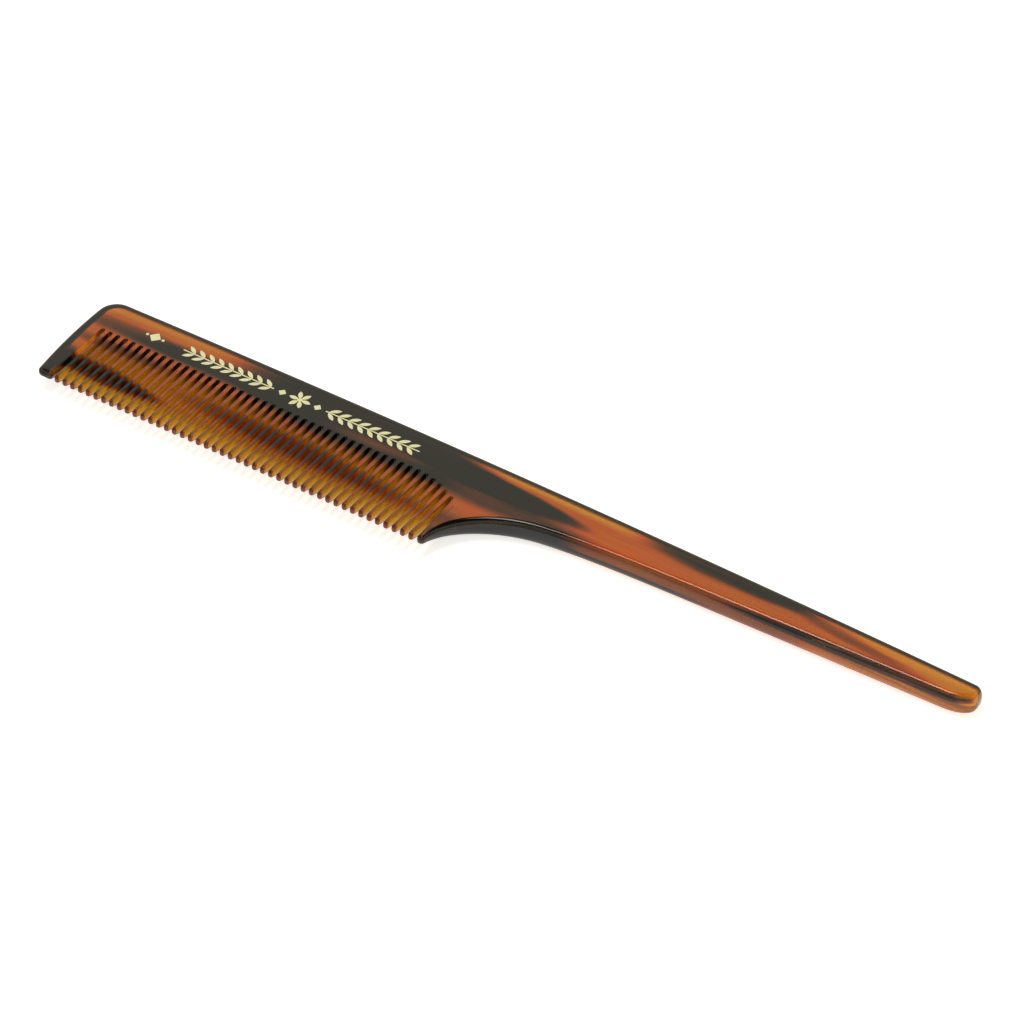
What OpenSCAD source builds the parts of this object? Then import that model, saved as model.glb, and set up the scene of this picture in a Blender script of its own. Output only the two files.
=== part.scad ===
// Rat-tail hair comb, sawn and polished from one sheet of tortoiseshell acetate.
// It lies flat: X runs along the back towards the tail, Y from the tooth tips to
// the back, Z up through the sheet. The slot datum is the middle of the first slot
// (X) and the line that the teeth hang from (Y); place() centres the comb on it.
// The back, guards, neck, tail and teeth are regions of the same sheet that meet
// face to face, so that every gap between two teeth stays open.

/* [Sheet] */
// Thickness of the sheet
sheet_t = 4.8; // [4.2:0.1:5.2]
// Radius worked on the edges of the sheet
edge_r = 1.5; // [0.8:0.1:1.8]
// Thickness left at the tooth tips, which are thinned from beneath
tip_t = 1.6; // [1.4:0.1:3]

/* [Outline] */
// Overall length
comb_l = 210.2; // [206:0.1:214]
// Distance from the end edge to the first slot
end_w = 5.5; // [5:0.05:7]
// Highest point of the back above the slot datum
back_y = 10.85; // [10.5:0.05:12]
// Where along the back its highest point is
back_apex_x = 40; // [30:1:60]
// Radius of the gently bowed back
back_bow_r = 3900; // [3300:50:5000]
// Radius of the corner between the back and the end
corner_r = 4.8; // [3:0.1:5]
// Radius of the bowed end edge
end_bow_r = 110; // [90:1:250]
// Depth of the tooth tips below the slot datum
tip_y = 16.9; // [15:0.1:17.2]

/* [Heel and tail] */
// Middle of the quarter ellipse that hollows the neck, along the comb
hollow_x = 114.6; // [113.5:0.1:116]
// Depth of that middle below the slot datum
hollow_y = 17.3; // [16.8:0.1:17.8]
// Half length of the ellipse
hollow_a = 22.5; // [22:0.1:22.8]
// Half height of the ellipse
hollow_b = 15.9; // [15.5:0.1:16]
// Where the hollow gives way to the tail's lower edge
tail_start_x = 110; // [108:0.5:111]
// Rise of the tail's lower edge soon after that
tail_rise = 1.27; // [1:0.01:1.5]
// Length over which that rise fades
tail_fade = 9.9; // [9.5:0.1:11]
// Slope that is left along the tail
tail_slope = 0.018; // [0.01:0.001:0.025]
// Radius of the tail tip's upper corner
tail_top_r = 1.9; // [1:0.1:2.5]
// Length and height of its longer lower corner
tail_low_l = 6.3; // [4:0.1:8]
tail_low_h = 3.3; // [2.5:0.1:3.5]

/* [Teeth] */
// Teeth between the two guards
tooth_n = 45; // [30:1:45]
// Distance from one slot to the next
tooth_pitch = 2; // [1.9:0.1:2]
// Width of a slot
slot_w = 0.85; // [0.6:0.05:1.1]
// Height of the first slot's root above the datum
root_y = 1; // [0.5:0.1:1.5]
// Fall of the slot roots, in mm per mm
root_fall = 0.0113; // [0:0.0001:0.02]
// Where the roots start to drop towards the heel
root_drop_x = 79.5; // [70:0.5:85]
// How fast they drop there, per mm
root_drop = 0.028; // [0.01:0.001:0.03]

/* [Foil ornament] */
// Thickness of the gold foil
foil_t = 0.05; // [0.05:0.01:0.1]
// Height of the ornament's middle line above the datum
foil_y = 4.6; // [4:0.1:5.5]
// Leaf pairs in each sprig
leaf_n = 9; // [5:1:10]
// Length of a leaf
leaf_l = 2.6; // [2:0.1:3]
// Width of a leaf
leaf_w = 0.9; // [0.6:0.1:1.1]
// Radius of the central rosette
rosette_r = 2.6; // [2:0.1:2.8]

/* [Hidden] */
function tooth_name(i) = str("tooth_", i < 10 ? "0" : "", i);
REGIONS = ["back_bar", "end_guard", "heel_guard", "neck", "tail_handle"];
FOILS = ["foil_lozenge", "foil_sprig_left", "foil_rosette", "foil_sprig_right"];

big = 400;
slot_r = slot_w / 2;
last_slot_x = tooth_n * tooth_pitch;
tail_x = comb_l - end_w;
bar_x = last_slot_x + 3;
neck_x = 126;
heel_end_x = 102;
outline_step = 7.5;
hollow_n = 14;
taper_n = 9;
sliver = 0.01;

acetate = [0.62, 0.29, 0.12];
dark_acetate = [0.2, 0.13, 0.1];
gold = [0.93, 0.9, 0.68];

// Edges of the outline as functions of X or Y, and the root line of the slots
function back_edge(x) = back_y - back_bow_r
    + sqrt(back_bow_r * back_bow_r - (x - back_apex_x) * (x - back_apex_x));
function end_edge(y) = -end_w + end_bow_r
    - sqrt(end_bow_r * end_bow_r - (y - 2) * (y - 2));
function hollow_edge(x) = -hollow_y
    + hollow_b * sqrt(1 - pow((x - hollow_x) / hollow_a, 2));
function tail_edge(x) = hollow_edge(tail_start_x) + tail_slope * (x - tail_start_x)
    + tail_rise * (1 - exp(-(x - tail_start_x) / tail_fade));
function slot_root(x) = root_y - root_fall * x
    - root_drop * pow(max(0, x - root_drop_x), 2);
// Middle of the round end of a slot
function slot_end(x) = slot_root(x) - slot_r;

// Plate with a quarter round on every edge, over a convex plan
module rounded_plate() {
    hull() for (a = [0 : 15 : 90])
        translate([0, 0, edge_r * (1 - sin(a))])
            linear_extrude(sheet_t - 2 * edge_r * (1 - sin(a)))
                offset(delta = -edge_r * (1 - cos(a))) children();
}

// Plan of the comb before its lower edge is hollowed: convex, with two round tail corners
module blank_plan() {
    corner_mid = [end_edge(back_y - corner_r) + corner_r, back_edge(0) - corner_r];
    top_x = tail_x - tail_top_r;
    top_mid = [top_x, back_edge(top_x) - tail_top_r];
    low_x = tail_x - tail_low_l;
    low_mid = [low_x, tail_edge(low_x) + tail_low_h];
    polygon(concat(
        [[end_edge(-tip_y) + 1.4, -tip_y], [end_edge(-tip_y) + 0.4, -tip_y + 0.5]],
        [for (y = [-tip_y + 1.4 : 2 : corner_mid[1]]) [end_edge(y), y]],
        [for (a = [180 : -10 : 90]) corner_mid + corner_r * [cos(a), sin(a)]],
        [for (x = [6 : outline_step : top_x]) [x, back_edge(x)]],
        [for (a = [80 : -20 : 0]) top_mid + tail_top_r * [cos(a), sin(a)]],
        [for (a = [0 : -10 : -70]) low_mid + [tail_low_l * cos(a), tail_low_h * sin(a)]],
        [[last_slot_x + 1, -tip_y]]));
}

// Plan of what is cut from under the neck and tail: convex, so the edge it leaves is hollow
module hollow_plan() {
    end_a = acos((hollow_x - tail_start_x) / hollow_a);
    polygon(concat([[hollow_x - hollow_a, -2 * tip_y]],
        [for (k = [0 : hollow_n])
            let (a = end_a * k / hollow_n)
            [hollow_x - hollow_a * cos(a), -hollow_y + hollow_b * sin(a)]],
        [for (x = [tail_start_x + 5, tail_start_x + 12, tail_start_x + 25, tail_x + 5])
            [x, tail_edge(x)]],
        [[tail_x + 5, -2 * tip_y]]));
}

// The hollow, flared so that it leaves the sheet's edges rounded
module hollow_cut() {
    module layer(a, z) {
        translate([0, 0, z]) linear_extrude(sliver)
            offset(delta = edge_r * (1 - cos(a))) hollow_plan();
    }
    translate([0, 0, -1]) linear_extrude(sheet_t + 2) hollow_plan();
    for (a = [0 : 30 : 60]) {
        hull() {
            layer(a, edge_r * (1 - sin(a)));
            layer(a + 30, edge_r * (1 - sin(a + 30)) - sliver);
        }
        hull() {
            layer(a, sheet_t - edge_r * (1 - sin(a)) - sliver);
            layer(a + 30, sheet_t - edge_r * (1 - sin(a + 30)));
        }
    }
}

// Envelope of the sheet between two places in X: its underside rises along a parabola
// from the roots to the tooth tips
module taper(x_a, x_b) {
    reach = root_y + tip_y;
    function rise(d) = (sheet_t - tip_t) * pow(d / reach, 2);
    under = [for (k = [0 : taper_n]) [root_y - reach * k / taper_n, rise(reach * k / taper_n)]];
    translate([x_a, 0, 0]) rotate([90, 0, 90]) linear_extrude(x_b - x_a)
        polygon(concat([[-tip_y, sheet_t], [back_y + 1, sheet_t], [back_y + 1, 0]], under));
}

// The polished blank before and after its lower edge is hollowed
module uncut_blank() {
    intersection() {
        rounded_plate() blank_plan();
        taper(-end_w - 1, tail_x + 1);
    }
}

module blank() {
    difference() {
        uncut_blank();
        hollow_cut();
    }
}

// Moves the comb so that its box stands centred on the origin
module place() {
    translate([end_w - comb_l / 2, (tip_y - back_y) / 2, 0]) children();
}

// A slice of the first child over the plan region that the second one draws
module region() {
    intersection() {
        children(0);
        translate([0, 0, -1]) linear_extrude(sheet_t + 2) children(1);
    }
}

module back_bar() {
    xs = [for (k = [0 : tooth_n]) each [k * tooth_pitch - slot_r, k * tooth_pitch + slot_r]];
    color(dark_acetate) place() difference() {
        region() {
            uncut_blank();
            polygon(concat([[-big, big], [-big, slot_end(0)]],
                [for (x = xs) [x, slot_end(x)]],
                [[bar_x, slot_end(last_slot_x)], [bar_x, big]]));
        }
        for (k = [0 : tooth_n])
            translate([k * tooth_pitch, slot_end(k * tooth_pitch), -1])
                cylinder(h = sheet_t + 2, r = slot_r, $fn = 24);
    }
}

module end_guard() {
    color(acetate) place() region() {
        uncut_blank();
        polygon([[-big, slot_end(0)], [-slot_r, slot_end(0)], [-slot_r, -big], [-big, -big]]);
    }
}

module heel_guard() {
    x = last_slot_x + slot_r;
    y = slot_end(last_slot_x);
    color(acetate) place() region() {
        blank();
        polygon([[x, slot_end(x)], [x, -big], [heel_end_x, -big], [heel_end_x, y], [bar_x, y]]);
    }
}

module neck() {
    y = slot_end(last_slot_x);
    color(dark_acetate) place() region() {
        blank();
        polygon([[bar_x, big], [bar_x, y], [heel_end_x, y], [heel_end_x, -big],
            [neck_x, -big], [neck_x, big]]);
    }
}

module tail_handle() {
    color(acetate) place() region() {
        blank();
        polygon([[neck_x, big], [neck_x, -big], [big, -big], [big, big]]);
    }
}

// Tooth i hangs between slots i - 1 and i, with a round tip
module tooth(i) {
    x_a = (i - 1) * tooth_pitch + slot_r;
    x_b = i * tooth_pitch - slot_r;
    x_m = (x_a + x_b) / 2;
    tip_r = (x_b - x_a) / 2;
    color(acetate) place() intersection() {
        taper(x_a, x_b);
        linear_extrude(sheet_t) union() {
            polygon([[x_a, slot_end(x_a)], [x_a, -tip_y + tip_r],
                [x_b, -tip_y + tip_r], [x_b, slot_end(x_b)]]);
            translate([x_m, -tip_y + tip_r]) circle(tip_r, $fn = 24);
        }
    }
}

// Pointed leaf along X, its middle at the origin: two arcs that cross
module leaf(l, w) {
    r = (l * l + w * w) / (4 * w);
    intersection() {
        translate([0, r - w / 2]) circle(r, $fn = 48);
        translate([0, w / 2 - r]) circle(r, $fn = 48);
    }
}

module foil() {
    color(gold) place() translate([0, 0, sheet_t]) linear_extrude(foil_t) children();
}

// Stem with leaf pairs that lean along dir, from x_a over length l
module sprig(x_a, l, dir) {
    gap = l / (leaf_n + 0.5);
    translate([x_a, foil_y - 0.14]) square([l, 0.28]);
    for (k = [0 : leaf_n - 1], side = [-1, 1])
        translate([x_a + (k + 0.75) * gap, foil_y + side * 0.95])
            rotate(side * dir * 35) leaf(leaf_l, leaf_w);
}

module foil_lozenge() {
    foil() {
        translate([10.7, foil_y]) rotate(45) square(2, center = true);
        for (side = [-1, 1])
            translate([10.7 + side * 2, foil_y]) circle(0.35, $fn = 24);
    }
}

module foil_sprig_left() {
    foil() sprig(18, 23, -1);
}

module foil_sprig_right() {
    foil() sprig(54, 23, 1);
}

module foil_rosette() {
    foil() translate([47.5, foil_y]) {
        for (a = [0 : 60 : 300])
            rotate(a) translate([rosette_r / 2 + 0.2, 0]) leaf(rosette_r - 0.4, 1);
        circle(0.55, $fn = 24);
        for (side = [-1, 1])
            translate([side * 4.4, 0]) rotate(45) square(1.3, center = true);
    }
}

back_bar();
end_guard();
heel_guard();
neck();
tail_handle();
for (i = [1 : tooth_n])
    tooth(i);
foil_lozenge();
foil_sprig_left();
foil_rosette();
foil_sprig_right();
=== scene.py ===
"""Looks of the tortoiseshell tail comb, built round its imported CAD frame.

Lengths are written in millimetres in the comb's own plan: X = 0 is the middle of the
first slot and Y = 0 the line that the teeth hang from. metres() moves them into the frame.
"""

import math

import bpy
import numpy as np
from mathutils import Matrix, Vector
from mathutils.geometry import delaunay_2d_cdt


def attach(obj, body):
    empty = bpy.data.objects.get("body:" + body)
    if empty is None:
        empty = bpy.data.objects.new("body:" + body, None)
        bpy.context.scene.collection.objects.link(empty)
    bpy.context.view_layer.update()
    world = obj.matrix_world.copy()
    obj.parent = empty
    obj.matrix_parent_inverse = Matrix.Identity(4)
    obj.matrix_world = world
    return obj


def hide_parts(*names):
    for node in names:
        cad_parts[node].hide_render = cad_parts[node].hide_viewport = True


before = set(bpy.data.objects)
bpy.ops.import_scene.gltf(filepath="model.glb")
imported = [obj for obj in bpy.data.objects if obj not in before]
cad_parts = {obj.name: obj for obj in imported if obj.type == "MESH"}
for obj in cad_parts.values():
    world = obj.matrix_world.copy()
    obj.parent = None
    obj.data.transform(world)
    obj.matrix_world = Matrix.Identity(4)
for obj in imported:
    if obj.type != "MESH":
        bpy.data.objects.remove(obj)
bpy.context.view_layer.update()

MM = 0.001

# Plan of the comb, as in the CAD model
COMB_L = 210.2
END_W = 5.5
BACK_Y = 10.85
BACK_APEX_X = 40.0
BACK_BOW_R = 3900.0
CORNER_R = 4.8
END_BOW_R, END_BOW_Y = 110.0, 2.0
TIP_Y = 16.9
HOLLOW_X, HOLLOW_Y = 114.6, 17.3
HOLLOW_A, HOLLOW_B = 22.5, 15.9
TAIL_START_X = 110.0
TAIL_RISE, TAIL_FADE, TAIL_SLOPE = 1.27, 9.9, 0.018
TAIL_TOP_R = 1.9
TAIL_LOW_L, TAIL_LOW_H = 6.3, 3.3
TAIL_X = COMB_L - END_W
HEEL_R = 0.85
HOLLOW_FOOT = HEEL_R * 1.1
GUARD_R, GUARD_INNER_R = 1.4, 0.7
TOOTH_N = 45
PITCH = 2.0
SLOT_R = 0.425
LAST_SLOT_X = TOOTH_N * PITCH
ROOT_Y, ROOT_FALL = 1.0, 0.0113
ROOT_DROP_X, ROOT_DROP = 79.5, 0.028

# Sheet: thickness, what is left at the tooth tips, and over what length and by how much
# their tops round down
SHEET_T = 4.8
TIP_T = 1.6
TIP_ROUND_L, TIP_ROUND_H = 1.2, 0.9

# How far in the edges are rounded: round the body, down the end guard and at its corners,
# round the heel, and on the teeth at their roots, walls and tips
EDGE_IN = 1.5
GUARD_IN, GUARD_CORNER_IN, GUARD_SLOT_IN = 1.1, 0.9, 0.45
POINT_IN, HEEL_IN, HOLLOW_IN = 0.5, 0.7, 0.8
ROOT_IN, WALL_IN, TIP_IN = 0.12, 0.36, 0.42

# Section of a rounded edge: a superellipse of this power, in this many rings, and then one
# ring a little further in, as a share of the rounding, where the flat fill starts
EDGE_POWER = 2.4
EDGE_RINGS = 8
FLAT_MARGIN = 0.12

# Extra places in the flat fill, where the underside curves: their columns on the end guard
# and on the heel guard, and their rows, each as start, stop and step, and how clear of the
# edge they stay
GUARD_FILL_X = (-4.0, -0.5, 0.8)
HEEL_FILL_X = (91.0, 110.0, 0.9)
FILL_Y = (-15.0, 1.0, 0.9)
FILL_CLEAR = 0.3


def metres(x, y, z=0.0):
    """Comb plan in millimetres to the frame in metres."""
    return Vector(((x + END_W - COMB_L / 2) * MM, (y + (TIP_Y - BACK_Y) / 2) * MM, z * MM))


# ---------------------------------------------------------------- camera, floor, light

# Camera: direction in degrees, distance, the point it looks at, and its lens in millimetres
CAMERA_AZ, CAMERA_EL = 32.96, 42.22
CAMERA_DISTANCE = 0.816
CAMERA_TARGET = Vector((0.00163, 0.004565, 0.0027))
CAMERA_LENS = 143.92

# Softbox: place and size in metres, and watts
SOFTBOX_PLACE = Vector((-0.2, 0.05, 1.0))
SOFTBOX_SIZE = (0.4, 0.3)
SOFTBOX_POWER = 2.6

# Floor: half its side in metres, its depth under the comb, its grey and its own glow
FLOOR_HALF, FLOOR_DEPTH = 3.0, 0.05 * MM
FLOOR_GREY, FLOOR_GLOW = 0.86, 0.65

# Tent: how bright it is by height, from the horizon (0) to overhead (1), and its warm tint
TENT_LEVELS = ((0.05, 0.4), (0.4, 0.85), (0.72, 0.85), (0.84, 0.05))
TENT_TINT = (1.0, 0.965, 0.78)


def make_camera():
    """A long lens, turned round the comb and looking down on it."""
    az, el = math.radians(CAMERA_AZ), math.radians(CAMERA_EL)
    back = Vector((math.sin(az) * math.cos(el), -math.cos(az) * math.cos(el), math.sin(el)))
    data = bpy.data.cameras.new("camera")
    data.lens = CAMERA_LENS
    data.sensor_width = 36.0
    data.clip_end = 20.0
    camera = bpy.data.objects.new("camera", data)
    bpy.context.scene.collection.objects.link(camera)
    camera.location = CAMERA_TARGET + back * CAMERA_DISTANCE
    camera.rotation_euler = back.to_track_quat("Z", "Y").to_euler()
    bpy.context.scene.camera = camera


def make_floor():
    """A white floor just under the comb, lit enough from within to stay white."""
    mesh = bpy.data.meshes.new("floor")
    corners = [
        (side_x * FLOOR_HALF, side_y * FLOOR_HALF, -FLOOR_DEPTH)
        for side_x, side_y in ((-1, -1), (1, -1), (1, 1), (-1, 1))
    ]
    mesh.from_pydata(corners, [], [(0, 1, 2, 3)])
    floor = bpy.data.objects.new("floor", mesh)
    bpy.context.scene.collection.objects.link(floor)
    material = bpy.data.materials.new("floor")
    material.use_nodes = True
    shader = material.node_tree.nodes["Principled BSDF"]
    shader.inputs["Base Color"].default_value = (FLOOR_GREY, FLOOR_GREY, FLOOR_GREY, 1)
    shader.inputs["Roughness"].default_value = 0.9
    shader.inputs["Specular IOR Level"].default_value = 0.0
    shader.inputs["Emission Color"].default_value = (1, 1, 1, 1)
    shader.inputs["Emission Strength"].default_value = FLOOR_GLOW
    mesh.materials.append(material)


def make_world():
    """A warm white tent: bright sides that dim towards the floor, a dark top."""
    world = bpy.data.worlds.new("tent")
    bpy.context.scene.world = world
    world.use_nodes = True
    tree = world.node_tree
    background = tree.nodes["Background"]
    place = tree.nodes.new("ShaderNodeTexCoord")
    split = tree.nodes.new("ShaderNodeSeparateXYZ")
    ramp = tree.nodes.new("ShaderNodeValToRGB")
    tree.links.new(place.outputs["Generated"], split.inputs[0])
    tree.links.new(split.outputs["Z"], ramp.inputs["Fac"])
    tree.links.new(ramp.outputs["Color"], background.inputs["Color"])
    stops = ramp.color_ramp.elements
    while len(stops) < len(TENT_LEVELS):
        stops.new(0.5)
    for stop, (height, level) in zip(stops, TENT_LEVELS):
        stop.position = height
        stop.color = (*(tint * level for tint in TENT_TINT), 1)
    background.inputs["Strength"].default_value = 1.0


def make_softbox():
    """One soft light over the comb, turned towards its middle."""
    data = bpy.data.lights.new("overhead", "AREA")
    data.shape = "RECTANGLE"
    data.size, data.size_y = SOFTBOX_SIZE
    data.energy = SOFTBOX_POWER
    light = bpy.data.objects.new("overhead", data)
    bpy.context.scene.collection.objects.link(light)
    light.location = SOFTBOX_PLACE
    light.rotation_euler = SOFTBOX_PLACE.to_track_quat("Z", "Y").to_euler()


make_camera()
make_floor()
make_world()
make_softbox()
bpy.context.scene.view_settings.view_transform = "Standard"


# ---------------------------------------------------------------- outline of the comb

def back_edge(x):
    return BACK_Y - BACK_BOW_R + math.sqrt(BACK_BOW_R**2 - (x - BACK_APEX_X) ** 2)


def end_edge(y):
    return -END_W + END_BOW_R - math.sqrt(END_BOW_R**2 - (y - END_BOW_Y) ** 2)


def hollow_edge(x):
    return -HOLLOW_Y + HOLLOW_B * math.sqrt(1 - ((x - HOLLOW_X) / HOLLOW_A) ** 2)


def tail_edge(x):
    t = x - TAIL_START_X
    return hollow_edge(TAIL_START_X) + TAIL_SLOPE * t + TAIL_RISE * (1 - math.exp(-t / TAIL_FADE))


def slot_end(x):
    return ROOT_Y - ROOT_FALL * x - ROOT_DROP * max(0, x - ROOT_DROP_X) ** 2 - SLOT_R


def arc(middle, radius, start, stop, n):
    """Points along an arc, its ends included, angles in degrees; radius may be (a, b)."""
    a, b = radius if isinstance(radius, tuple) else (radius, radius)
    return [
        (middle[0] + a * math.cos(math.radians(t)), middle[1] + b * math.sin(math.radians(t)))
        for t in np.linspace(start, stop, n)
    ]


def wall(x, y_from, y_to, n=15):
    """Points down or up a slot's wall, its ends left out."""
    return [(x, y) for y in np.linspace(y_from, y_to, n + 2)[1:-1]]


def heel_outline():
    """Stretches down the last slot's wall, round the heel's point and up the hollow."""
    mid = (LAST_SLOT_X + SLOT_R + HEEL_R, HEEL_R - TIP_Y)
    # The hollow is an arc of an ellipse, from HOLLOW_FOOT above the tips to the tail's start
    start = math.degrees(math.asin((HOLLOW_Y - TIP_Y + HOLLOW_FOOT) / HOLLOW_B))
    stop = math.degrees(math.acos((HOLLOW_X - TAIL_START_X) / HOLLOW_A))
    hollow = arc((HOLLOW_X, -HOLLOW_Y), (-HOLLOW_A, HOLLOW_B), start, stop, n=44)
    # Its first points widen the rounding from the heel's to the body's
    tip_n = 12
    return [
        (wall(LAST_SLOT_X + SLOT_R, slot_end(LAST_SLOT_X), mid[1]), ROOT_IN, POINT_IN),
        (arc(mid, HEEL_R, 180, 342, n=12), POINT_IN, HEEL_IN),
        (hollow[:tip_n], HOLLOW_IN, EDGE_IN),
        (hollow[tip_n:-1], EDGE_IN, EDGE_IN),
    ]


def tail_outline():
    """Stretches along the tail's lower edge, round its end and back along the back."""
    low_x = TAIL_X - TAIL_LOW_L
    top_x = TAIL_X - TAIL_TOP_R
    low_mid = (low_x, tail_edge(low_x) + TAIL_LOW_H)
    top_mid = (top_x, back_edge(top_x) - TAIL_TOP_R)
    corner_mid = (end_edge(BACK_Y - CORNER_R) + CORNER_R, back_edge(0) - CORNER_R)
    lower = [(x, tail_edge(x)) for x in np.linspace(TAIL_START_X, low_x, 60)[:-1]]
    back = [(x, back_edge(x)) for x in np.linspace(top_x, corner_mid[0], 110)[1:-1]]
    runs = [
        lower,
        arc(low_mid, (TAIL_LOW_L, TAIL_LOW_H), -90, 0, n=22),
        arc(top_mid, TAIL_TOP_R, 0, 90, n=12),
        back,
        arc(corner_mid, CORNER_R, 90, 180, n=17),
    ]
    return [(run, EDGE_IN, EDGE_IN) for run in runs], corner_mid[1]


def guard_outline(start_y):
    """Stretches down the bowed end from start_y, round its corners and up the first slot."""
    mid = (end_edge(GUARD_R - TIP_Y) + GUARD_R, GUARD_R - TIP_Y)
    inner_mid = (-SLOT_R - GUARD_INNER_R, GUARD_INNER_R - TIP_Y)
    end = [(end_edge(y), y) for y in np.linspace(start_y, mid[1], 26)[1:-1]]
    return [
        (end, EDGE_IN, GUARD_IN),
        (arc(mid, GUARD_R, 180, 270, n=12), GUARD_IN, GUARD_CORNER_IN),
        (arc(inner_mid, GUARD_INNER_R, 270, 360, n=8), POINT_IN, GUARD_SLOT_IN),
        (wall(-SLOT_R, inner_mid[1], slot_end(0)), GUARD_SLOT_IN, ROOT_IN),
    ]


def tooth_outline(x):
    """Stretches round the slot at x and the tooth after it."""
    next_x = x + PITCH
    tip_r = PITCH / 2 - SLOT_R
    tip_y = tip_r - TIP_Y
    return [
        (arc((x, slot_end(x)), SLOT_R, 180, 0, n=11), ROOT_IN, ROOT_IN),
        (wall(x + SLOT_R, slot_end(x), tip_y), ROOT_IN, WALL_IN),
        (arc((x + PITCH / 2, tip_y), tip_r, 180, 360, n=11), TIP_IN, TIP_IN),
        (wall(next_x - SLOT_R, tip_y, slot_end(next_x)), WALL_IN, ROOT_IN),
    ]


def outline():
    """The comb's outline, counter-clockwise, as (x, y, how far the edge is rounded in)."""
    tail, corner_y = tail_outline()
    stretches = heel_outline() + tail + guard_outline(corner_y)
    for k in range(TOOTH_N):
        stretches += tooth_outline(k * PITCH)
    last_end = arc((LAST_SLOT_X, slot_end(LAST_SLOT_X)), SLOT_R, 180, 0, n=11)
    stretches.append((last_end, ROOT_IN, ROOT_IN))
    return np.array([
        (x, y, inset)
        for points, first, last in stretches
        for (x, y), inset in zip(points, np.linspace(first, last, len(points)))
    ])


def inward_normals(points):
    """Unit normals into the comb at each point of a counter-clockwise loop."""
    ahead = np.roll(points, -1, axis=0) - points
    ahead /= np.linalg.norm(ahead, axis=1)[:, None]
    behind = np.roll(ahead, 1, axis=0)
    tangent = ahead + behind
    tangent /= np.linalg.norm(tangent, axis=1)[:, None]
    return np.stack([-tangent[:, 1], tangent[:, 0]], axis=1)


def heights(y):
    """Heights of the underside and the top: teeth are thinned from beneath, and end round."""
    y = np.asarray(y, float)
    down = np.clip((ROOT_Y - y) / (ROOT_Y + TIP_Y), 0, 1)
    at_end = np.clip(1 - (y + TIP_Y) / TIP_ROUND_L, 0, 1)
    top = SHEET_T - TIP_ROUND_H * (1 - np.sqrt(1 - at_end**2))
    return (SHEET_T - TIP_T) * down**2, top


def inside(points, x, y):
    """Even-odd test of one place against a closed loop."""
    a, b = points, np.roll(points, -1, axis=0)
    crosses = (a[:, 1] > y) != (b[:, 1] > y)
    dy = np.where(b[:, 1] == a[:, 1], 1e-9, b[:, 1] - a[:, 1])
    at = a[:, 0] + (y - a[:, 1]) * (b[:, 0] - a[:, 0]) / dy
    return bool(np.count_nonzero(crosses & (x < at)) % 2)


def distance(points, x, y):
    """How far one place is from the nearest point."""
    return float(np.min(np.hypot(points[:, 0] - x, points[:, 1] - y)))


def fill_points(plan):
    """Extra places inside the flat plan, on the two guards."""
    columns = list(np.arange(*GUARD_FILL_X)) + list(np.arange(*HEEL_FILL_X))
    return [
        (x, y)
        for x in columns
        for y in np.arange(*FILL_Y)
        if inside(plan, x, y) and distance(plan, x, y) > FILL_CLEAR
    ]


def body_mesh():
    """One closed skin: edge rings from the outline inwards, then a flat fill, on both faces."""
    loop = outline()
    plan, inset = loop[:, :2], loop[:, 2]
    normal = inward_normals(plan)
    n = len(plan)
    verts, faces = [], []

    def add_ring(depth_share, height_share, side):
        """One ring of vertices: its first index, and its plan."""
        at = plan + normal * (inset * depth_share)[:, None]
        under, top = heights(at[:, 1])
        z = (top + under) / 2 + side * (top - under) / 2 * height_share
        verts.extend(metres(x, y, zz) for (x, y), zz in zip(at, z))
        return len(verts) - n, at

    def bridge(a, b, flip):
        for k in range(n):
            j = (k + 1) % n
            quad = (a + k, a + j, b + j, b + k)
            faces.append(quad[::-1] if flip else quad)

    angles = np.radians(np.linspace(0, 90, EDGE_RINGS + 1))[1:]
    power = 2 / EDGE_POWER
    middle_ring, _ = add_ring(0.0, 0.0, 1)
    inner = {}
    for side in (1, -1):
        shares = [(1 - math.cos(angle) ** power, math.sin(angle) ** power) for angle in angles]
        shares.append((1 + FLAT_MARGIN, 1.0))
        previous = middle_ring
        for depth_share, height_share in shares:
            ring, inner_plan = add_ring(depth_share, height_share, side)
            bridge(previous, ring, side < 0)
            previous = ring
        inner[side] = previous

    # Flat fill: the last ring's plan and the extra places, in triangles, only inside the ring
    points = [Vector(p) for p in inner_plan] + [Vector(p) for p in fill_points(inner_plan)]
    edges = [(k, (k + 1) % n) for k in range(n)]
    out, _, tris, source, _, _ = delaunay_2d_cdt(points, edges, [], 1, 1e-7)
    index = {1: [], -1: []}
    for side in (1, -1):
        for k, p in enumerate(out):
            origin = [s for s in source[k] if s < n]
            if origin:
                index[side].append(inner[side] + origin[0])
            else:
                index[side].append(len(verts))
                verts.append(metres(p.x, p.y, float(heights(p.y)[side > 0])))
    for tri in tris:
        a, b, c = (out[k] for k in tri)
        up = (b - a).cross(c - a) > 0
        top = tuple(index[1][k] for k in tri)
        under = tuple(index[-1][k] for k in tri)
        faces.append(top if up else top[::-1])
        faces.append(under[::-1] if up else under)
    mesh = bpy.data.meshes.new("comb_body")
    mesh.from_pydata(verts, [], faces)
    mesh.validate()
    mesh.shade_smooth()
    return mesh


ACETATE = [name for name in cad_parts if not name.startswith("foil")]
body = bpy.data.objects.new("comb_body", body_mesh())
bpy.context.scene.collection.objects.link(body)


# ---------------------------------------------------------------- materials

# Colours of the sheet from its lightest to its darkest, and how dark each one counts as
SHEET_COLOURS = (
    (0.00, (0.72, 0.36, 0.02)),
    (0.22, (0.66, 0.24, 0.01)),
    (0.45, (0.58, 0.095, 0.006)),
    (0.62, (0.28, 0.060, 0.007)),
    (0.78, (0.10, 0.028, 0.006)),
    (1.00, (0.004, 0.003, 0.002)),
)

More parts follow.
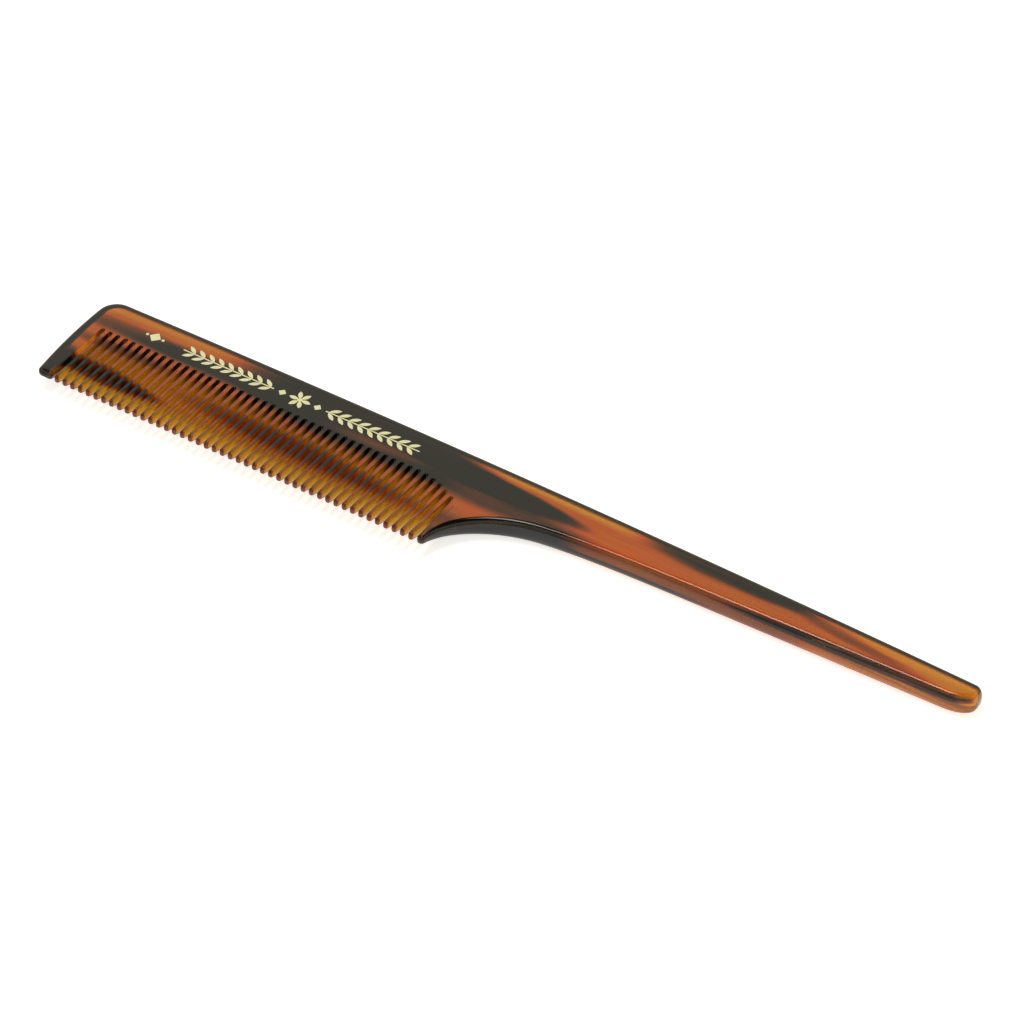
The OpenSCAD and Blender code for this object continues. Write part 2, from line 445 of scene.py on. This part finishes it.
# How finely the dye's pull and its streaks vary per millimetre, how far the pull takes the
# patches along and across the comb, how strong the streaks are, and how far the patches lean
# per millimetre of depth
PULL_SCALE = (0.035, 0.22, 0.16)
PULL = (9, 2.4, 0)
STREAK_SCALE = (0.05, 0.9, 0.5)
STREAK_AMOUNT = 0.3
SLANT = 0.35

# Fades, as start, stop, and what they add before and after: the sheet is painted paler towards
# the tooth tips for the light that comes through the thinner teeth, and its dye is paler towards
# the handle's end; the slot walls get painted shade at the roots and painted light below them,
# the handle's back wall painted light near its end, and the tooth tips painted shade
TEETH_LIGHT_Y = (-16.0, -9.0, 0.02, 0.40)
HANDLE_X = (160.0, 200.0, 0.0, -0.15)
SLOT_WALL_SHADE_Y = (-2.2, -0.2, -0.45, 0.5)
BACK_WALL_LIGHT_Y = (3.0, 5.0, 0.0, 1.0)
BACK_WALL_LIGHT_X = (158.0, 172.0, 0.0, -0.6)
TIP_SHADE_Y = (-16.8, -15.6, 0.9, 0.0)

# How level a surface is where it stops being an edge or a wall, how far past the outer slots
# and the roots the teeth's own dye reaches, and where the near side ends
EDGE_LEVEL = (0.985, 0.9995)
WALL_LEVEL = (0.35, 0.65)
PAST_SLOTS = (0.5, 0.7)
PAST_ROOTS = (0.2, 0.4)
NEAR_SIDE_Y = (2.5, 4.5)

# Painted shade in a dark rim along the back and the free end: how far in from the edge it starts
# and is full, how much further in it reaches on the free end, the heights over which it comes in,
# and how dark it is
RIM_START, RIM_FULL = 2.0, 1.5
RIM_END_EXTRA = 0.7
RIM_Z = (2.6, 3.6)
RIM_SHADE = 0.9

# Foil: its worn and its fresh colour, and its roughness between them
FOIL_COLOURS = (
    (0.30, (0.94, 0.88, 0.48)),
    (0.60, (1.0, 0.98, 0.66)),
)
FOIL_ROUGHNESS = (0.3, 0.7, 0.5, 0.32)
FOIL_WEAR_SCALE, FOIL_PIT_SCALE = 1.7, 12.0

# Patches in the sheet, in comb plan millimetres: middle x and y, half length, half width,
# tilt in degrees, softness of the border as a share of the width, and what it adds
PATCHES = (
    # spine
    (20, 3.4, 28, 2.0, 0, 0.5, 0.42),
    (33, 2.8, 24, 2.1, 0, 0.4, 0.32),
    (62, 5.0, 31, 7.0, -1, 0.25, 0.62),
    (93, 4.2, 22, 2.6, -1.5, 0.2, 0.62),
    (96, 0.0, 24, 2.3, 0, 0.4, 0.42),
    (12, 7.7, 26, 1.1, -0.5, 0.7, -0.13),
    (108, 8.2, 38, 0.8, -1.2, 0.7, -0.22),
    (76, 1.6, 18, 1.4, -1, 0.6, -0.34),
    # streak along the back of the tail
    (149, 8.2, 21, 2.9, 0, 0.3, 0.64),
    (179, 4.4, 17, 1.1, -7, 0.6, 0.30),
    (191, 6.2, 17, 1.5, -3, 0.5, -0.10),
    # teeth
    (6, -2.4, 12, 1.2, 0, 0.6, 0.35),
    (8, -10.8, 15, 2.4, -2, 0.3, 0.80),
    (-3.0, -16.4, 3.8, 8.8, 0, 0.30, 0.95),
    (58, -8.2, 28, 2.6, -2, 0.5, 0.62),
    (95, -15.0, 4.4, 4.0, 0, 0.4, 0.50),
    (45, -12.0, 30, 1.2, -2, 0.9, 0.25),
)

# Painted reflections, light and shade in bands on the comb's near wall, in the same terms but
# with height in place of y
NEAR_WALL_SHADING = (
    (92, 2.4, 24, 4.5, 0, 0.2, 0.70),
    (134, 3.2, 24, 1.2, 0, 0.4, -0.03),
    (123, 1.5, 23, 0.8, 0, 0.3, 0.60),
    (182, 3.9, 30, 0.8, 0, 0.3, 0.70),
    (178, 1.2, 42, 1.5, 0, 0.3, 0.05),
    (125, 0.3, 20, 0.5, 0, 0.3, -0.30),
)


class Graph:
    """Short calls that add nodes to a material and join them up."""

    def __init__(self, material):
        self.tree = material.node_tree

    def node(self, kind, *inputs, **settings):
        node = self.tree.nodes.new(kind)
        for name, value in settings.items():
            setattr(node, name, value)
        for socket, value in zip(node.inputs, inputs):
            self.feed(socket, value)
        return node

    def feed(self, socket, value):
        if isinstance(value, bpy.types.NodeSocket):
            self.tree.links.new(value, socket)
        elif value is not None:
            socket.default_value = value

    def math(self, operation, *inputs, clamp=False):
        node = self.node("ShaderNodeMath", *inputs, operation=operation, use_clamp=clamp)
        return node.outputs[0]

    def product(self, first, *others):
        for other in others:
            first = self.math("MULTIPLY", first, other)
        return first

    def total(self, first, *others):
        for other in others:
            first = self.math("ADD", first, other)
        return first

    def vector(self, operation, *inputs):
        node = self.node("ShaderNodeVectorMath", *inputs, operation=operation)
        return node.outputs["Value" if operation == "LENGTH" else "Vector"]

    def fade(self, value, start, stop, low=0.0, high=1.0):
        """low below start, high above stop, smooth between them."""
        node = self.node("ShaderNodeMapRange", value, interpolation_type="SMOOTHSTEP")
        node.inputs["From Min"].default_value = start
        node.inputs["From Max"].default_value = stop
        node.inputs["To Min"].default_value = low
        node.inputs["To Max"].default_value = high
        return node.outputs["Result"]

    def ramp(self, value, stops):
        """Colour of a value, from (place, red, green and blue) stops."""
        node = self.node("ShaderNodeValToRGB", value)
        elements = node.color_ramp.elements
        while len(elements) < len(stops):
            elements.new(0.5)
        for element, (place, colour) in zip(elements, stops):
            element.position = place
            element.color = (*colour, 1)
        return node.outputs["Color"]

    def noise(self, place, scale=1.0, detail=2.0):
        node = self.node("ShaderNodeTexNoise")
        self.feed(node.inputs["Vector"], place)
        node.inputs["Scale"].default_value = scale
        node.inputs["Detail"].default_value = detail
        return node


def comb_place(graph):
    """Where a point is in comb plan millimetres."""
    place = graph.node("ShaderNodeTexCoord").outputs["Object"]
    zero = metres(0, 0)
    shift = (-zero.x / MM, -zero.y / MM, 0)
    return graph.vector("MULTIPLY_ADD", place, (1 / MM,) * 3, shift)


def patch(graph, place, x, y, length, width, tilt, soft, amount):
    """One long soft-edged patch of colour, the same all the way along its third axis."""
    local = graph.node("ShaderNodeMapping", place, vector_type="TEXTURE")
    local.inputs["Location"].default_value = (x, y, 0)
    local.inputs["Rotation"].default_value = (0, 0, math.radians(tilt))
    local.inputs["Scale"].default_value = (length, width, 1e4)
    reach = graph.vector("LENGTH", local.outputs[0])
    return graph.fade(reach, 1 - soft, 1 + soft, amount, 0.0)


def sheet_dye_and_light(graph, plan):
    """How dark the sheet is: its streaks and patches of dye together, with the teeth painted
    paler for the light through the thinner sheet.
    """
    # The dye runs along the comb: a stretched noise pulls the patches about, and they lean
    # on their way down through the sheet
    x, y, z = graph.node("ShaderNodeSeparateXYZ", plan).outputs
    pull = graph.noise(graph.vector("MULTIPLY", plan, PULL_SCALE), detail=3.0)
    pull = graph.vector("SUBTRACT", pull.outputs["Color"], (0.5, 0.5, 0.5))
    place = graph.vector("MULTIPLY_ADD", pull, PULL, plan)
    depth = graph.math("MULTIPLY_ADD", z, SLANT, -SLANT * SHEET_T)
    slant = graph.node("ShaderNodeCombineXYZ", 0.0, depth, 0.0).outputs[0]
    place = graph.vector("ADD", place, slant)

    streaks = graph.noise(graph.vector("MULTIPLY", plan, STREAK_SCALE), detail=4.0)
    streaks = graph.math("SUBTRACT", streaks.outputs["Fac"], 0.5)
    # A base darkness, painted paler towards the tooth tips for the light through the thinner
    # teeth
    dark = graph.math("MULTIPLY_ADD", streaks, STREAK_AMOUNT, graph.fade(y, *TEETH_LIGHT_Y))
    patches = [patch(graph, place, *numbers) for numbers in PATCHES]
    return graph.total(dark, graph.fade(x, *HANDLE_X), *patches)


def painted_edge_shading(graph, plan):
    """Painted light and shade that the rounded edges and walls add, where light goes through more
    of the sheet.
    """
    x, y, z = graph.node("ShaderNodeSeparateXYZ", plan).outputs
    normal = graph.node("ShaderNodeNewGeometry").outputs["Normal"]
    tilt = graph.node("ShaderNodeSeparateXYZ", normal).outputs["Z"]
    level = graph.math("ABSOLUTE", tilt)
    on_edge = graph.fade(level, *EDGE_LEVEL, 1.0, 0.0)
    on_wall = graph.fade(level, *WALL_LEVEL, 1.0, 0.0)
    in_teeth = graph.product(
        graph.fade(x, -PAST_SLOTS[1], -PAST_SLOTS[0]),
        graph.fade(x, LAST_SLOT_X + PAST_SLOTS[0], LAST_SLOT_X + PAST_SLOTS[1], 1.0, 0.0),
        graph.fade(y, ROOT_Y + PAST_ROOTS[0], ROOT_Y + PAST_ROOTS[1], 1.0, 0.0),
    )
    off_teeth = graph.math("SUBTRACT", 1.0, in_teeth)
    near_edge = graph.product(on_edge, off_teeth, graph.fade(y, *NEAR_SIDE_Y, 1.0, 0.0))

    # Painted shade on the slot walls at their roots, painted light on them further down
    slot_wall_shade = graph.product(in_teeth, graph.fade(y, *SLOT_WALL_SHADE_Y))
    # Painted light on the handle's back wall near its end
    back_wall_light = graph.product(graph.fade(y, *BACK_WALL_LIGHT_Y), graph.fade(x, *BACK_WALL_LIGHT_X))
    walls = graph.product(on_wall, graph.total(slot_wall_shade, back_wall_light))
    # Painted reflections, light and shade in bands along the near wall
    side_place = graph.node("ShaderNodeCombineXYZ", x, z, 0.0).outputs[0]
    wall_bands = graph.total(*(patch(graph, side_place, *numbers) for numbers in NEAR_WALL_SHADING))
    near_wall_shading = graph.product(near_edge, wall_bands)
    # Painted shade on the tooth tips
    tip_shade = graph.product(in_teeth, graph.fade(y, *TIP_SHADE_Y))
    return graph.total(walls, near_wall_shading, painted_rim_shade(graph, x, y, z), tip_shade)


def painted_rim_shade(graph, x, y, z):
    """Painted shade in a dark rim along the back and the free end, on the upper side of the
    sheet.
    """
    # Depth past a line CORNER_R inside each edge, taken as a parabola; the two run together
    # round the corner
    from_back = graph.math("POWER", graph.math("SUBTRACT", x, BACK_APEX_X), 2.0)
    from_back = graph.math("MULTIPLY_ADD", from_back, -0.5 / BACK_BOW_R, BACK_Y - CORNER_R)
    past_back = graph.math("MAXIMUM", graph.math("SUBTRACT", y, from_back), 0.0)
    from_end = graph.math("POWER", graph.math("SUBTRACT", y, END_BOW_Y), 2.0)
    end_line = CORNER_R - END_W + RIM_END_EXTRA
    from_end = graph.math("MULTIPLY_ADD", from_end, 0.5 / END_BOW_R, end_line)
    past_end = graph.math("MAXIMUM", graph.math("SUBTRACT", from_end, x), 0.0)
    past = graph.node("ShaderNodeCombineXYZ", past_back, past_end, 0.0).outputs[0]
    past = graph.vector("LENGTH", past)
    border = graph.fade(past, CORNER_R - RIM_START, CORNER_R - RIM_FULL)
    return graph.product(border, graph.fade(z, *RIM_Z, 0.0, RIM_SHADE))


def tortoise():
    """Clear acetate with the tortoiseshell dye on its surface, and painted light and shade on its
    edges and walls.
    """
    material = bpy.data.materials.new("tortoise_acetate")
    material.use_nodes = True
    graph = Graph(material)
    shader = material.node_tree.nodes["Principled BSDF"]
    plan = comb_place(graph)
    # The sheet's dye, with its teeth painted paler, plus the painted light and shade of its edges
    # and walls
    dark = graph.math("ADD", sheet_dye_and_light(graph, plan), painted_edge_shading(graph, plan), clamp=True)
    graph.feed(shader.inputs["Base Color"], graph.ramp(dark, SHEET_COLOURS))
    shader.inputs["Roughness"].default_value = 0.09
    shader.inputs["IOR"].default_value = 1.49
    shader.inputs["Transmission Weight"].default_value = 0.76
    return material


def gold_foil():
    """Pale hot-stamped foil, a little worn and finely pitted."""
    material = bpy.data.materials.new("gold_foil")
    material.use_nodes = True
    graph = Graph(material)
    shader = material.node_tree.nodes["Principled BSDF"]
    plan = comb_place(graph)
    wear = graph.noise(plan, FOIL_WEAR_SCALE, detail=4.0).outputs["Fac"]
    graph.feed(shader.inputs["Base Color"], graph.ramp(wear, FOIL_COLOURS))
    graph.feed(shader.inputs["Roughness"], graph.fade(wear, *FOIL_ROUGHNESS))
    bump = graph.node("ShaderNodeBump")
    bump.inputs["Strength"].default_value = 0.15
    bump.inputs["Distance"].default_value = 0.02 * MM
    pits = graph.noise(plan, FOIL_PIT_SCALE).outputs["Fac"]
    graph.feed(bump.inputs["Height"], pits)
    graph.feed(shader.inputs["Normal"], bump.outputs[0])
    shader.inputs["Metallic"].default_value = 0.1
    return material


body.data.materials.append(tortoise())
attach(body, "root")
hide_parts(*ACETATE)

foil = gold_foil()
for name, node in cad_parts.items():
    if name.startswith("foil"):
        for slot in node.material_slots:
            slot.material = foil
